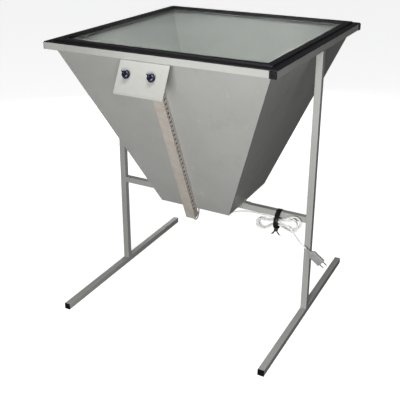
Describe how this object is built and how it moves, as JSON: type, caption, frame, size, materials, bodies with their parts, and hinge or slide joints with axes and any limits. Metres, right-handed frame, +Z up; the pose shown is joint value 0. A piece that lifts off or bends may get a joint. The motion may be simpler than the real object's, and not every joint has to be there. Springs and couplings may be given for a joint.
{
  "type": "screen printing exposure table",
  "caption": "Upturned square steel hopper with glass top and rubber seal on a square-tube stand, two-knob console, wiring duct and tied mains lead.",
  "frame": {"origin": "on the floor, under the middle of the whole part without its mains lead", "axes": "+X to the right seen from the console, +Y to the back, +Z up"},
  "size_m": [0.9556, 0.933, 1.11],
  "materials": {
    "bulb_glass": "frosted",
    "cap_plastic": "satin",
    "ceramic": "glazed",
    "console_paint": "satin",
    "duct_plastic": "matt",
    "foam": "matt",
    "glass": "clear",
    "grey_paint": "satin",
    "grey_pvc": "satin",
    "knob_plastic": "gloss",
    "nickel": "bright",
    "rubber": "matt",
    "switch_plastic": "matt",
    "tape": "satin",
    "white_pvc": "satin",
    "zinc": "bright"
  },
  "bodies": {
    "stand": {"console_flange": "console_paint", "console_panel": "console_paint", "console_screws": "zinc", "console_struts": "console_paint", "cord_hank": "white_pvc", "cord_tie": "tape", "cross_rail": "grey_paint", "duct_base": "duct_plastic", "duct_cover": "duct_plastic", "duct_screws": "zinc", "foot_brackets": "grey_paint", "foot_cap_left_back": "cap_plastic", "foot_cap_left_front": "cap_plastic", "foot_cap_right_back": "cap_plastic", "foot_cap_right_front": "cap_plastic", "foot_left": "grey_paint", "foot_right": "grey_paint", "gland_nut": "switch_plastic", "glass_pane": "glass", "glazing_tape": "foam", "hopper_back": "grey_paint", "hopper_bottom": "grey_paint", "hopper_front": "grey_paint", "hopper_left": "grey_paint", "hopper_right": "grey_paint", "lamp_bulb": "bulb_glass", "lamp_cap": "zinc", "lamp_holder": "ceramic", "lamp_lead": "grey_pvc", "lead_grommet": "switch_plastic", "ledge_back": "grey_paint", "ledge_front": "grey_paint", "ledge_left": "grey_paint", "ledge_right": "grey_paint", "mains_cord_feed": "white_pvc", "mains_cord_tail": "white_pvc", "mains_gland": "switch_plastic", "plug_body": "grey_pvc", "plug_pins": "nickel", "post_left": "grey_paint", "post_right": "grey_paint", "rail_back": "grey_paint", "rail_cap_back_left": "cap_plastic", "rail_cap_back_right": "cap_plastic", "rail_cap_front_left": "cap_plastic", "rail_cap_front_right": "cap_plastic", "rail_front": "grey_paint", "rail_left": "grey_paint", "rail_right": "grey_paint", "seal_back": "rubber", "seal_front": "rubber", "seal_left": "rubber", "seal_right": "rubber", "switch_left": "switch_plastic", "switch_nuts": "zinc", "switch_right": "switch_plastic"},
    "left_switch": {"knob_left": "knob_plastic", "shaft_left": "zinc"},
    "right_switch": {"knob_right": "knob_plastic", "shaft_right": "zinc"}
  },
  "joints": [
    {"name": "left_knob_turn", "type": "hinge", "parent": "stand", "child": "left_switch", "pos_m": [-0.075, -0.43965, 1.0302], "axis": [0, -0.8944, 0.4472], "range_deg": [-120, 0]},
    {"name": "right_knob_turn", "type": "hinge", "parent": "stand", "child": "right_switch", "pos_m": [0.022, -0.43965, 1.0302], "axis": [0, -0.8944, 0.4472], "range_deg": [-120, 0]}
  ]
}
